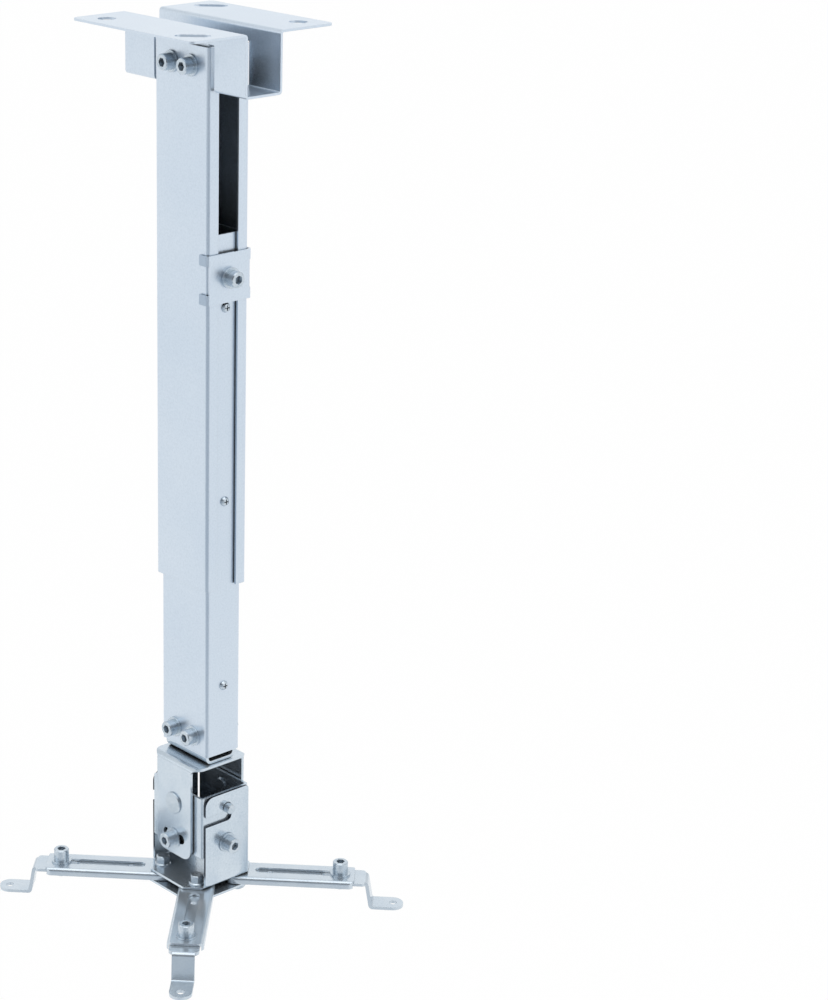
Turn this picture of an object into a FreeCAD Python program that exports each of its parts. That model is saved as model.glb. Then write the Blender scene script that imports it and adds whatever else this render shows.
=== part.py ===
import FreeCAD, Part
import math
import os
import re
import Sketcher
from FreeCAD import Placement, Rotation, Vector

# Projector ceiling mount, millimetres. The origin lies on the column's axis in the ceiling plane.
# X runs along the flanges of the ceiling bracket, Z points up at the ceiling.

# Driving dimensions: name, value, meaning
SIZES = [
    # Gaps shared by all pieces
    ("sliding_gap", "0.3", "gap beside faces that slide or turn past each other"),
    ("pivot_gap", "0.05", "radial gap of a shank that turns in its hole"),
    ("pivot_face_gap", "0.1", "gap under the head of a pivot"),
    ("bolt_gap", "0.2", "radial gap of a bolt in its clearance hole"),
    ("tight_gap", "0.02", "radial gap of threads and of fixed ends in their holes"),
    ("column_wall", "1.5", "sheet of the bracket, the tubes and the arms"),
    ("fold_inside", "0.9", "inside radius of a tight fold"),
    # Ceiling bracket
    ("bracket_length", "112", "length of the flanges"),
    ("bracket_play", "0.5", "gap between an ear and the outer tube"),
    ("bracket_drop", "37.5", "depth of the channel"),
    ("flange_reach", "40", "reach of a flange beyond the channel"),
    ("flange_corner", "3.5", "corner radius of the flanges"),
    ("ear_width", "45", "width of the ears that enter the column"),
    ("ear_drop", "36", "depth of the ears below the ceiling"),
    ("ear_corner", "2.5", "corner radius of the ears"),
    ("notch_width", "56", "gap in the channel that takes the column"),
    ("notch_top", "9.9", "depth at which the slots beside the ears end"),
    ("ceiling_hole_spacing", "80", "spacing of the ceiling holes both ways"),
    ("ceiling_hole_radius", "5.5", "round ceiling holes"),
    ("twist_slot_radius", "4.5", "half width of the slotted ceiling holes"),
    ("twist_slot_travel", "12", "distance between the ends' centres of a slotted hole"),
    # Column
    ("outer_deep", "50", "outer tube along X"),
    ("outer_wide", "32", "outer tube along Y"),
    ("outer_top", "11.4", "top of the outer tube below the ceiling"),
    ("outer_length", "339.6", "length of the outer tube"),
    ("outer_slot", "15.5", "width of the slot down the outer tube"),
    ("tube_play", "0.8", "gap between the tubes on each side"),
    ("inner_top", "124.3", "top of the inner tube below the ceiling"),
    ("inner_length", "342", "length of the inner tube"),
    ("guide_first", "45.7", "first guide screw below the top of the inner tube"),
    ("guide_spacing", "124.4", "spacing of the guide screws"),
    ("guide_head_radius", "3.1", "head of a guide screw"),
    ("guide_head_tall", "1.9", "height of a guide screw's head"),
    ("guide_shank_radius", "1.75", "shank of a guide screw"),
    ("guide_shank_length", "4", "length of a guide screw's shank"),
    # Bolts through the column
    ("bolt_radius", "3", "M6 shanks"),
    ("bolt_pair_spacing", "18.2", "spacing of the two bolts of a pair"),
    ("bolt_inset", "12.1", "top bolts below the top of the outer tube"),
    ("adapter_bolt_rise", "11.6", "adapter bolts above the foot of the inner tube"),
    ("cap_radius", "5", "socket head of an M6 screw"),
    ("cap_tall", "6.4", "height of a socket head"),
    ("socket_flats", "5", "width across the flats of the hexagon socket"),
    ("socket_deep", "3.2", "depth of the hexagon socket"),
    ("washer_radius", "6.6", "plain washers"),
    ("washer_thick", "1.2", "thickness of a plain washer"),
    ("spring_washer_radius", "5.2", "spring washers under the lock screws"),
    ("spring_washer_thick", "1.6", "thickness of a spring washer"),
    ("nut_flats", "10", "M6 nuts across the flats"),
    ("nut_tall", "5", "height of an M6 nut"),
    ("bolt_end", "1.5", "length of shank standing out of a nut"),
    # Clamp
    ("clamp_thick", "1.2", "sheet of the clamp plate"),
    ("clamp_tall", "30.6", "height of the clamp plate"),
    ("clamp_below_top", "11", "clamp plate below the top of the inner tube"),
    ("clamp_tab_tall", "6.4", "height of a tab"),
    ("clamp_tab_reach", "6.6", "reach of a tab round the outer tube"),
    ("clamp_plate_side", "15.7", "half width of the plate between its tabs"),
    # Swivel adapter
    ("adapter_thick", "2", "sheet of the adapter"),
    ("adapter_drop", "6.3", "underside of the adapter below the foot of the inner tube"),
    ("adapter_ear_tall", "34", "height of the adapter"),
    ("adapter_fold", "2.5", "inside radius of the adapter's folds"),
    ("swivel_radius", "4", "M8 swivel bolt"),
    ("swivel_flats", "13", "hexagon of the swivel bolt and nut"),
    ("swivel_head_tall", "5.3", "height of the swivel bolt's head"),
    ("swivel_nut_tall", "6.5", "height of the swivel nut"),
    # Tilt frame
    ("tilt_thick", "1.8", "sheet of the tilt frame"),
    ("tilt_wide", "44.8", "outside width of the tilt frame along Y"),
    ("tilt_top_deep", "45", "top of the tilt frame along X"),
    ("tilt_side_deep", "34", "sides of the tilt frame along X"),
    ("tilt_tall", "67.2", "height of the tilt frame"),
    ("tilt_fold", "2.2", "inside radius of the tilt frame's folds"),
    ("tilt_corner", "8", "radius of the lower corners"),
    ("tilt_top_corner", "7.5", "corner radius of the top"),
    ("tilt_neck", "3", "radius where a side widens into the top"),
    ("tilt_axis_drop", "30.3", "tilt axis below the top of the tilt frame"),
    ("tilt_slot_half", "17.5", "half angle of the arc slots, degrees"),
    ("rivet_head_radius", "7.2", "heads of the tilt rivets"),
    ("rivet_head_tall", "1.3", "height of a rivet head"),
    ("rivet_shank_radius", "4", "shanks of the tilt rivets"),
    ("lock_radius_arm", "25.1", "distance of the lock screws from their axis"),
    ("lock_cap_tall", "5.2", "height of a lock screw's head"),
    # Gimbal box
    ("gimbal_thick", "1.8", "strip of the gimbal box"),
    ("gimbal_side_gap", "0.9", "gap between the tilt frame and the gimbal box"),
    ("gimbal_deep", "50.4", "outside of the gimbal box along X"),
    ("gimbal_rise", "10.3", "top of the gimbal box above the tilt axis"),
    ("gimbal_tall", "42.4", "height of the gimbal box"),
    ("gimbal_corner", "2.2", "outside corner radius of the gimbal box"),
    ("gimbal_seam", "1.2", "open seam where the strip's ends meet at a corner"),
    ("stud_radius", "3.3", "hook studs"),
    ("stud_stand", "4.6", "studs stand this far out of the cradle"),
    ("stud_shank_radius", "2.5", "riveted end of a hook stud"),
    # Cradle
    ("cradle_thick", "1.6", "sheet of the cradle"),
    ("cradle_side_gap", "0.4", "gap between the gimbal box and the cradle"),
    ("cradle_side", "36", "sides of the cradle along Y"),
    ("cradle_floor", "56.8", "floor of the cradle along Y"),
    ("cradle_rise", "10.6", "top of the cradle above the roll axis"),
    ("cradle_drop", "54.2", "underside of the cradle below the roll axis"),
    ("cradle_fold", "1.6", "inside radius of the cradle's folds"),
    ("cradle_near_corner", "6.5", "radius of the upper corner at the slot's mouth"),
    ("cradle_corner", "2", "radius of the other upper corner"),
    ("hook_slot_play", "0.35", "gap round a stud in its slot"),
    ("hook_drop", "5.95", "mouth of the slot below the roll axis"),
    ("roll_slot_half", "8", "half angle of the roll slots, degrees"),
    # Base plate and arms
    ("plate_gap", "5.8", "room for the arms between the floor and the base plate"),
    ("plate_thick", "1.5", "base plate"),
    ("plate_deep", "55", "base plate along X"),
    ("plate_wide", "58", "base plate along Y"),
    ("plate_corner", "9", "cut corners of the base plate"),
    ("pivot_offset", "17.5", "arm pivots from both axes"),
    ("pivot_flange_radius", "5.3", "flange of an arm pivot bolt"),
    ("pivot_flange_thick", "1.2", "thickness of that flange"),
    ("pivot_hex_tall", "5", "height of the hexagon on it"),
    ("pivot_head_flats", "8", "that hexagon across the flats"),
    ("arm_wide", "23.6", "width of an arm"),
    ("arm_deep", "5", "depth of an arm's sides"),
    ("arm_length", "77.3", "arm beyond its pivot"),
    ("arm_corner", "4", "corner radius at an arm's outer end"),
    ("arm_slot_radius", "3.6", "half width of an arm's slot"),
    ("arm_slot_start", "15.3", "inner end of an arm's slot beyond the pivot"),
    ("arm_screw_inset", "9.5", "clamp screw before the outer end of the arm"),
    ("arm_cap_tall", "8", "height of an arm's clamp screw head"),
    ("strip_gap", "0.2", "gap above and below an extension strip"),
    ("strip_wide", "14.4", "width of an extension strip beyond the arm"),
    ("strip_thick", "2", "thickness of an extension strip"),
    ("strip_start", "12.3", "inner end of the strip beyond the pivot"),
    ("strip_corner", "2.2", "corner radius of the part inside the arm"),
    ("strip_beyond", "9.1", "bend of the strip beyond the arm"),
    ("strip_lean", "3", "outward lean of the strip's drop"),
    ("strip_drop", "17.6", "drop of the strip's foot"),
    ("foot_length", "23.3", "bend of the strip to the tip of its foot"),
    ("strip_fold", "1", "inside radius of the strip's folds"),
    ("strip_slot_radius", "3.2", "half width of the strip's slot"),
    ("strip_travel", "9", "travel of the strip past its clamp screw"),
    ("strip_hole_at", "21.4", "small hole of the strip beyond the pivot"),
    ("strip_hole_radius", "2", "small hole near the strip's inner end"),
    ("foot_hole_inset", "6.7", "foot hole before the tip"),
    ("foot_hole_radius", "2.5", "foot holes"),
]

# Sizes that follow from the driving ones: name, formula, meaning
DERIVED = [
    ("fold_outside", "fold_inside + column_wall", "outside radius of a tight fold"),
    ("bracket_channel", "outer_wide - 2 * column_wall - 2 * bracket_play", "channel along Y"),
    ("inner_deep", "outer_deep - 2 * column_wall - 2 * tube_play", "inner tube along X"),
    ("inner_wide", "outer_wide - 2 * column_wall - 2 * tube_play", "inner tube along Y"),
    ("inner_foot", "inner_top + inner_length", "foot of the inner tube"),
    ("top_bolt_down", "outer_top + bolt_inset", "top bolts below the ceiling"),
    ("adapter_bolt_down", "inner_foot - adapter_bolt_rise", "adapter bolts below the ceiling"),
    ("clamp_down", "inner_top + clamp_below_top + clamp_tall / 2", "middle of the clamp"),
    ("adapter_wide", "inner_wide - 2 * column_wall - 2 * bolt_gap", "adapter along Y"),
    ("adapter_ears", "inner_deep - 2 * column_wall - 2 * fold_inside", "ears of the adapter along X"),
    ("adapter_foot", "inner_foot + adapter_drop", "underside of the adapter"),
    ("swivel_washer_radius", "adapter_wide / 2 - 2 * adapter_thick", "washer of the swivel bolt"),
    ("tilt_top", "adapter_foot + sliding_gap", "top of the tilt frame below the ceiling"),
    ("tilt_axis", "tilt_top + tilt_axis_drop", "tilt axis below the ceiling"),
    ("gimbal_wide", "tilt_wide - 2 * tilt_thick - 2 * gimbal_side_gap", "gimbal box along Y"),
    ("gimbal_middle", "tilt_axis + gimbal_tall / 2 - gimbal_rise", "middle height of the gimbal"),
    ("lock_down", "tilt_axis + lock_radius_arm", "lock screws below the ceiling"),
    ("cradle_deep", "gimbal_deep + 2 * cradle_side_gap + 2 * cradle_thick", "cradle along X"),
    ("cradle_foot", "tilt_axis + cradle_drop", "underside of the cradle"),
    ("hook_half", "stud_radius + hook_slot_play", "half width of the hook slot"),
    ("plate_top", "cradle_foot + plate_gap", "top of the base plate"),
    ("arm_top", "cradle_foot + sliding_gap", "top of the arms"),
    ("strip_top", "arm_top + column_wall + strip_gap", "top of the strips"),
    ("strip_foot", "strip_top + strip_drop", "top of the strips' feet"),
    ("arm_screw_at", "arm_length - arm_screw_inset", "clamp screw beyond the pivot"),
    ("strip_bend_at", "arm_length + strip_beyond", "bend of the strip beyond the pivot"),
    ("strip_tip_at", "strip_bend_at + foot_length", "tip of the foot beyond the pivot"),
    ("foot_hole_at", "strip_tip_at - foot_hole_inset", "foot hole beyond the pivot"),
    ("strip_slide_wide", "arm_wide - 2 * column_wall - 2 * fold_inside + 2 * strip_gap",
     "width of the strip inside the arm"),
]

doc = FreeCAD.newDocument("projector_ceiling_mount")
sheet = doc.addObject("Spreadsheet::Sheet", "Sizes")
NAMES = [row[0] for row in SIZES + DERIVED]
WORD = re.compile(r"\b(" + "|".join(NAMES) + r")\b")


def bind(text):
    """Turns a formula in plain size names into one that reads the sheet."""
    return WORD.sub(r"Sizes.\1", text)


def fill_sheet():
    """Writes every size with its alias and meaning, the derived ones as formulas."""
    for row, (name, value, meaning) in enumerate(SIZES + DERIVED, 1):
        formula = value if row <= len(SIZES) else "=" + value
        sheet.set("A%d" % row, meaning)
        sheet.set("B%d" % row, formula)
        sheet.setAlias("B%d" % row, name)
    doc.recompute()


fill_sheet()


def size(text):
    """Value of a formula in the sheet's names."""
    return float(sheet.evalExpression(text))


# Sketch and feature helpers

def new_body(name):
    body = doc.addObject("PartDesign::Body", name)
    body.Label = name
    return body


def new_sketch(body, name, role, offset="0"):
    """Sketch on an origin plane of its body, moved along the plane's normal by a formula."""
    sketch = body.newObject("Sketcher::SketchObject", name)
    plane = [item for item in body.Origin.OriginFeatures if item.Role == role][0]
    sketch.AttachmentSupport = [(plane, "")]
    sketch.MapMode = "FlatFace"
    sketch.setExpression("AttachmentOffset.Base.z", bind(offset))
    return sketch


def constrain(sketch, kind, places, formula):
    """Adds a dimension to a sketch and binds it to a formula."""
    index = sketch.addConstraint(Sketcher.Constraint(kind, *places, size(formula)))
    sketch.setExpression("Constraints[%d]" % index, bind(formula))


def place_point(sketch, geometry, spot, across, up):
    constrain(sketch, "DistanceX", (-1, 1, geometry, spot), across)
    constrain(sketch, "DistanceY", (-1, 1, geometry, spot), up)


def circle(sketch, across, up, radius):
    centre = Vector(size(across), size(up), 0)
    index = sketch.addGeometry(Part.Circle(centre, Vector(0, 0, 1), size(radius)))
    place_point(sketch, index, 3, across, up)
    constrain(sketch, "Radius", (index,), radius)


def outline(sketch, corners):
    """Closed outline through corners (across, up, radius); a radius of 0 leaves a sharp corner."""
    points = [Vector(size(across), size(up), 0) for across, up, radius in corners]
    count = len(points)
    enters, leaves, arcs = [], [], []
    for index, point in enumerate(points):
        back = (points[index - 1] - point).normalize()
        ahead = (points[(index + 1) % count] - point).normalize()
        radius = size(corners[index][2])
        half = back.getAngle(ahead) / 2
        cut = radius / math.tan(half)
        enters.append(point + back * cut)
        leaves.append(point + ahead * cut)
        if radius > 0:
            bisector = (back + ahead).normalize()
            middle = point + bisector * (radius / math.sin(half) - radius)
            arcs.append(sketch.addGeometry(Part.Arc(enters[-1], middle, leaves[-1])))
        else:
            arcs.append(None)
    lines = []
    for index in range(count):
        line = Part.LineSegment(leaves[index], enters[(index + 1) % count])
        lines.append(sketch.addGeometry(line))
    for index, (across, up, radius) in enumerate(corners):
        before, after, arc = lines[index - 1], lines[index], arcs[index]
        if arc is None:
            sketch.addConstraint(Sketcher.Constraint("Coincident", before, 2, after, 1))
            place_point(sketch, after, 1, across, up)
            continue
        mark = sketch.addGeometry(Part.Point(points[index]), True)
        place_point(sketch, mark, 1, across, up)
        sketch.addConstraint(Sketcher.Constraint("PointOnObject", mark, 1, before))
        sketch.addConstraint(Sketcher.Constraint("PointOnObject", mark, 1, after))
        starts_at_enter = sketch.getPoint(arc, 1).distanceToPoint(enters[index]) < 1e-6
        first, last = (1, 2) if starts_at_enter else (2, 1)
        sketch.addConstraint(Sketcher.Constraint("Tangent", before, 2, arc, first))
        sketch.addConstraint(Sketcher.Constraint("Tangent", arc, last, after, 1))
        constrain(sketch, "Radius", (arc,), radius)


def rounded_box(sketch, half_across, half_up, radius):
    outline(sketch, [
        (half_across, half_up, radius),
        ("-(%s)" % half_across, half_up, radius),
        ("-(%s)" % half_across, "-(%s)" % half_up, radius),
        (half_across, "-(%s)" % half_up, radius),
    ])


def box(sketch, left, right, low, high):
    outline(sketch, [(left, low, "0"), (right, low, "0"), (right, high, "0"), (left, high, "0")])


def slot(sketch, first, second, radius):
    """Slot with round ends between two end centres."""
    begin, end = [Vector(size(across), size(up), 0) for across, up in (first, second)]
    along = (end - begin).normalize()
    side = Vector(-along.y, along.x, 0) * size(radius)
    beyond = along * size(radius)
    start = sketch.addGeometry(Part.Arc(begin + side, begin - beyond, begin - side))
    finish = sketch.addGeometry(Part.Arc(end - side, end + beyond, end + side))
    lower = sketch.addGeometry(Part.LineSegment(begin - side, end - side))
    upper = sketch.addGeometry(Part.LineSegment(end + side, begin + side))
    for line, spot, arc in ((lower, 1, start), (lower, 2, finish), (upper, 1, finish), (upper, 2, start)):
        corner = sketch.getPoint(line, spot)
        near = 1 if sketch.getPoint(arc, 1).distanceToPoint(corner) < 1e-6 else 2
        sketch.addConstraint(Sketcher.Constraint("Tangent", line, spot, arc, near))
    place_point(sketch, start, 3, first[0], first[1])
    place_point(sketch, finish, 3, second[0], second[1])
    constrain(sketch, "Radius", (start,), radius)


def pad(body, sketch, length):
    """Adds material on both sides of a sketch."""
    feature = body.newObject("PartDesign::Pad", sketch.Name + "_pad")
    feature.Profile = sketch
    feature.SideType = "Symmetric"
    feature.setExpression("Length", bind(length))
    doc.recompute()
    return feature


def cut(body, sketch, length):
    """Takes material away on both sides of a sketch and makes sure that some went."""
    before = body.Shape.Volume
    feature = body.newObject("PartDesign::Pocket", sketch.Name + "_cut")
    feature.Profile = sketch
    feature.SideType = "Symmetric"
    feature.setExpression("Length", bind(length))
    doc.recompute()
    if body.Shape.Volume > before - 1e-3:
        raise RuntimeError("the cut %s removes nothing" % feature.Name)
    return feature


# Shapes of fasteners, each along +Z from the seat of its head at the origin

NUT_BEVEL = 1.1
NUT_BEVEL_ANGLE = 30

def hexagon(flats, tall, low=0.0):
    across = flats / math.sqrt(3)
    angles = [math.radians(60 * turn) for turn in range(7)]
    points = [Vector(across * math.cos(angle), across * math.sin(angle), low) for angle in angles]
    return Part.Face(Part.makePolygon(points)).extrude(Vector(0, 0, tall))


def turned(profile):
    """Solid of revolution about Z from (radius, height) corners."""
    points = [Vector(radius, 0, height) for radius, height in profile]
    face = Part.Face(Part.makePolygon(points + points[:1]))
    return face.revolve(Vector(0, 0, 0), Vector(0, 0, 1), 360)


def cap_screw(shank_length, tall):
    """Socket head screw whose shank points down from the seat."""
    edge = 0.5
    head, shank = size("cap_radius"), size("bolt_radius")
    body = turned([(0, -shank_length), (shank - edge, -shank_length), (shank, edge - shank_length),
                   (shank, 0), (head, 0), (head, tall - edge), (head - edge, tall), (0, tall)])
    socket = hexagon(size("socket_flats"), size("socket_deep") + 1, tall - size("socket_deep"))
    return body.cut(socket)


def washer(outside, thick, hole):
    return Part.makeCylinder(outside, thick).cut(Part.makeCylinder(hole, thick))


def nut(flats, tall, hole):
    """Hexagon nut with rounded-off corners, standing on the origin."""
    corner = flats / math.sqrt(3)
    bevel = (corner - flats / 2) * NUT_BEVEL
    drop = bevel * math.tan(math.radians(NUT_BEVEL_ANGLE))
    dome = turned([(0, 0), (corner - bevel, 0), (corner, drop), (corner, tall - drop),
                   (corner - bevel, tall), (0, tall)])
    return hexagon(flats, tall).common(dome).cut(Part.makeCylinder(hole, tall))


TO_Y_MINUS = Rotation(Vector(1, 0, 0), 90)
TO_Y_PLUS = Rotation(Vector(1, 0, 0), -90)
TO_X_PLUS = Rotation(Vector(0, 1, 0), 90)
TO_X_MINUS = Rotation(Vector(0, 1, 0), -90)
DOWN = Rotation(Vector(1, 0, 0), 180)
UP = Rotation()
# Turns a hexagon so that its flats, not its corners, lie along X
FLAT_ASIDE = Rotation(Vector(0, 0, 1), 30)


def put(shape, place, turn=UP):
    moved = shape.copy()
    moved.Placement = Placement(Vector(*place), turn)
    return moved


def group(name, shapes, placement=Placement()):
    """Node of one solid, or of several separate like solids."""
    feature = doc.addObject("Part::Feature", name)
    feature.Label = name
    feature.Shape = shapes[0] if len(shapes) == 1 else Part.makeCompound(shapes)
    feature.Placement = placement.multiply(feature.Shape.Placement)
    return feature


# Ceiling end

def ceiling_bracket():
    """Folded sheet: two flanges on a channel whose middle is cut into two ears."""
    body = new_body("ceiling_bracket")
    half, edge = "bracket_channel / 2", "bracket_channel / 2 + flange_reach"
    inside = "bracket_channel / 2 - column_wall"
    section = new_sketch(body, "bracket_section", "YZ_Plane")
    outline(section, [
        (edge, "0", "0"),
        (inside, "0", "fold_outside"),
        (inside, "column_wall - bracket_drop", "fold_inside"),
        ("-(%s)" % inside, "column_wall - bracket_drop", "fold_inside"),
        ("-(%s)" % inside, "0", "fold_outside"),
        ("-(%s)" % edge, "0", "0"),
        ("-(%s)" % edge, "-column_wall", "0"),
        ("-(%s)" % half, "-column_wall", "fold_inside"),
        ("-(%s)" % half, "-bracket_drop", "fold_outside"),
        (half, "-bracket_drop", "fold_outside"),
        (half, "-column_wall", "fold_inside"),
        (edge, "-column_wall", "0"),
    ])
    pad(body, section, "bracket_length")

    corners = new_sketch(body, "bracket_corners", "XY_Plane")
    rounded_box(corners, "bracket_length", edge + " + 10", "1")
    rounded_box(corners, "bracket_length / 2", edge, "flange_corner")
    cut(body, corners, "2 * bracket_drop + 10")

    # Slots on both sides of the ears, then the web between them
    notch = new_sketch(body, "bracket_notch", "XZ_Plane")
    outer, inner = "notch_width / 2", "ear_width / 2"
    outline(notch, [
        ("-(%s)" % outer, "-bracket_drop - 1", "0"),
        ("-(%s)" % outer, "-notch_top", "0.6"),
        ("-(%s)" % inner, "-notch_top", "0.6"),
        ("-(%s)" % inner, "-ear_drop", "ear_corner"),
        (inner, "-ear_drop", "ear_corner"),
        (inner, "-notch_top", "0.6"),
        (outer, "-notch_top", "0.6"),
        (outer, "-bracket_drop - 1", "0"),
    ])
    cut(body, notch, "bracket_channel + 2")
    web = new_sketch(body, "bracket_web", "XY_Plane", "-bracket_drop")
    box(web, "-(%s)" % outer, outer, "-(%s)" % inside, inside)
    cut(body, web, "2 * fold_outside")

    bolts = new_sketch(body, "bracket_bolt_holes", "XZ_Plane")
    for side in ("", "-"):
        circle(bolts, side + "bolt_pair_spacing / 2", "-top_bolt_down", "bolt_radius + bolt_gap")
    cut(body, bolts, "bracket_channel + 2")

    # Two round ceiling holes on one diagonal, two slots across the other for twisting into line
    holes = new_sketch(body, "ceiling_holes", "XY_Plane")
    place = "ceiling_hole_spacing / 2"
    step = "twist_slot_travel / 2 * cos(45)"
    for side, other in (("", "-"), ("-", "")):
        circle(holes, side + place, side + place, "ceiling_hole_radius")
        first = ("%s%s - %s" % (side, place, step), "%s%s - %s" % (other, place, step))
        second = ("%s%s + %s" % (side, place, step), "%s%s + %s" % (other, place, step))
        slot(holes, first, second, "twist_slot_radius")
    cut(body, holes, "4 * column_wall")
    return body


def bolt_pair(prefix, down, face):
    """Two long bolts through the column along Y, with washers and nuts at both faces."""
    thick, gap = size("washer_thick"), size("bolt_gap")
    reach = 2 * face + 2 * thick + size("nut_tall") + size("bolt_end")
    places = [size("bolt_pair_spacing") / 2 * side for side in (-1, 1)]
    head = face + thick
    group(prefix + "_bolts",
          [put(cap_screw(reach, size("cap_tall")), (x, -head, -down), TO_Y_MINUS) for x in places])
    ring = washer(size("washer_radius"), thick, size("bolt_radius") + gap)
    rings = [put(ring, (x, -face, -down), TO_Y_MINUS) for x in places]
    rings += [put(ring, (x, face, -down), TO_Y_PLUS) for x in places]
    group(prefix + "_washers", rings)
    block = nut(size("nut_flats"), size("nut_tall"), size("bolt_radius + tight_gap"))
    group(prefix + "_nuts", [put(block, (x, head, -down), TO_Y_PLUS) for x in places])


# Column

def outer_tube():
    """Folded C-section, open down one narrow side."""
    body = new_body("outer_tube")
    deep, wide = "outer_deep / 2", "outer_wide / 2"
    in_deep, in_wide = deep + " - column_wall", wide + " - column_wall"
    lip = "outer_slot / 2"
    section = new_sketch(body, "outer_section", "XY_Plane", "-outer_top - outer_length / 2")
    outline(section, [
        (deep, lip, "0"),
        (deep, wide, "fold_outside"),
        ("-(%s)" % deep, wide, "fold_outside"),
        ("-(%s)" % deep, "-(%s)" % wide, "fold_outside"),
        (deep, "-(%s)" % wide, "fold_outside"),
        (deep, "-(%s)" % lip, "0"),
        (in_deep, "-(%s)" % lip, "0"),
        (in_deep, "-(%s)" % in_wide, "fold_inside"),
        ("-(%s)" % in_deep, "-(%s)" % in_wide, "fold_inside"),
        ("-(%s)" % in_deep, in_wide, "fold_inside"),
        (in_deep, in_wide, "fold_inside"),
        (in_deep, lip, "0"),
    ])
    pad(body, section, "outer_length")
    bolts = new_sketch(body, "outer_bolt_holes", "XZ_Plane")
    for side in ("", "-"):
        circle(bolts, side + "bolt_pair_spacing / 2", "-top_bolt_down", "bolt_radius + bolt_gap")
    cut(body, bolts, "outer_wide + 2")
    return body


def inner_tube():
    """Closed rectangular tube with holes for the guide screws, the clamp and the adapter."""
    body = new_body("inner_tube")
    section = new_sketch(body, "inner_section", "XY_Plane", "-inner_top - inner_length / 2")
    rounded_box(section, "inner_deep / 2", "inner_wide / 2", "fold_outside")
    rounded_box(section, "inner_deep / 2 - column_wall", "inner_wide / 2 - column_wall", "fold_inside")
    pad(body, section, "inner_length")
    front = new_sketch(body, "inner_front_holes", "YZ_Plane", "inner_deep / 2")
    circle(front, "0", "-clamp_down", "bolt_radius + bolt_gap")
    for turn in range(3):
        down = "-inner_top - guide_first - %d * guide_spacing" % turn
        circle(front, "0", down, "guide_shank_radius + tight_gap")
    cut(body, front, "4 * column_wall")
    bolts = new_sketch(body, "inner_bolt_holes", "XZ_Plane")
    for side in ("", "-"):
        circle(bolts, side + "bolt_pair_spacing / 2", "-adapter_bolt_down", "bolt_radius + bolt_gap")
    cut(body, bolts, "inner_wide + 2")
    return body


def guide_screws():
    """Domed cross-recessed screws that run in the slot of the outer tube."""
    head, tall = size("guide_head_radius"), size("guide_head_tall")
    shank, length = size("guide_shank_radius"), size("guide_shank_length")
    edge, tip = 0.7, 0.4
    screw = turned([(0, -length), (shank - tip, -length), (shank, tip - length), (shank, 0), (head, 0),
                    (head, tall - 2 * edge), (head - edge, tall - edge / 2), (head - 2 * edge, tall),
                    (0, tall)])
    # Cross recess
    recess, arm_thick, deep = head * 1.1, 0.8, 1.2
    for long_side, short_side in ((recess, arm_thick), (arm_thick, recess)):
        corner = Vector(-long_side / 2, -short_side / 2, tall - deep)
        screw = screw.cut(Part.makeBox(long_side, short_side, deep + 1, corner))
    first = size("inner_top + guide_first")
    downs = [first + size("guide_spacing") * turn for turn in range(3)]
    face = size("inner_deep") / 2
    group("guide_screws", [put(screw, (face, 0, -down), TO_X_PLUS) for down in downs])


def clamp_plate():
    """Plate over the open side of the outer tube, with four tabs folded round it."""
    body = new_body("clamp_plate")
    inside = "outer_wide / 2 + sliding_gap"
    outside = inside + " + clamp_thick"
    back, front = "outer_deep / 2 + sliding_gap", "outer_deep / 2 + sliding_gap + clamp_thick"
    rear = back + " - clamp_tab_reach"
    section = new_sketch(body, "clamp_section", "XY_Plane", "-clamp_down")
    round_outside = "fold_inside + clamp_thick"
    outline(section, [
        (rear, outside, "0"),
        (front, outside, round_outside),
        (front, "-(%s)" % outside, round_outside),
        (rear, "-(%s)" % outside, "0"),
        (rear, "-(%s)" % inside, "0"),
        (back, "-(%s)" % inside, "fold_inside"),
        (back, inside, "fold_inside"),
        (rear, inside, "0"),
    ])
    pad(body, section, "clamp_tall")
    relief = new_sketch(body, "clamp_relief", "YZ_Plane", back)
    gap_half = "clamp_tall / 2 - clamp_tab_tall"
    low, high = "-clamp_down - (%s)" % gap_half, "-clamp_down + (%s)" % gap_half
    for side in ("", "-"):
        box(relief, side + "clamp_plate_side", side + "outer_wide", low, high)
    cut(body, relief, "4 * clamp_tab_reach")
    hole = new_sketch(body, "clamp_hole", "YZ_Plane", back)
    circle(hole, "0", "-clamp_down", "bolt_radius + bolt_gap")
    cut(body, hole, "4 * clamp_thick")
    return body


def clamp_fasteners():
    face = size("outer_deep / 2 + sliding_gap + clamp_thick")
    down = size("clamp_down")
    stack = size("washer_thick + spring_washer_thick / 2")
    wall = size("inner_deep / 2 - column_wall")
    reach = face + stack - wall + size("nut_tall + bolt_end")
    screw = cap_screw(reach, size("cap_tall"))
    group("clamp_screw", [put(screw, (face + stack, 0, -down), TO_X_PLUS)])
    ring = washer(size("washer_radius"), stack, size("bolt_radius + bolt_gap"))
    group("clamp_washer", [put(ring, (face, 0, -down), TO_X_PLUS)])
    block = nut(size("nut_flats"), size("nut_tall"), size("bolt_radius + tight_gap"))
    group("clamp_nut", [put(block, (wall, 0, -down), TO_X_MINUS)])


# Swivel

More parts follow.
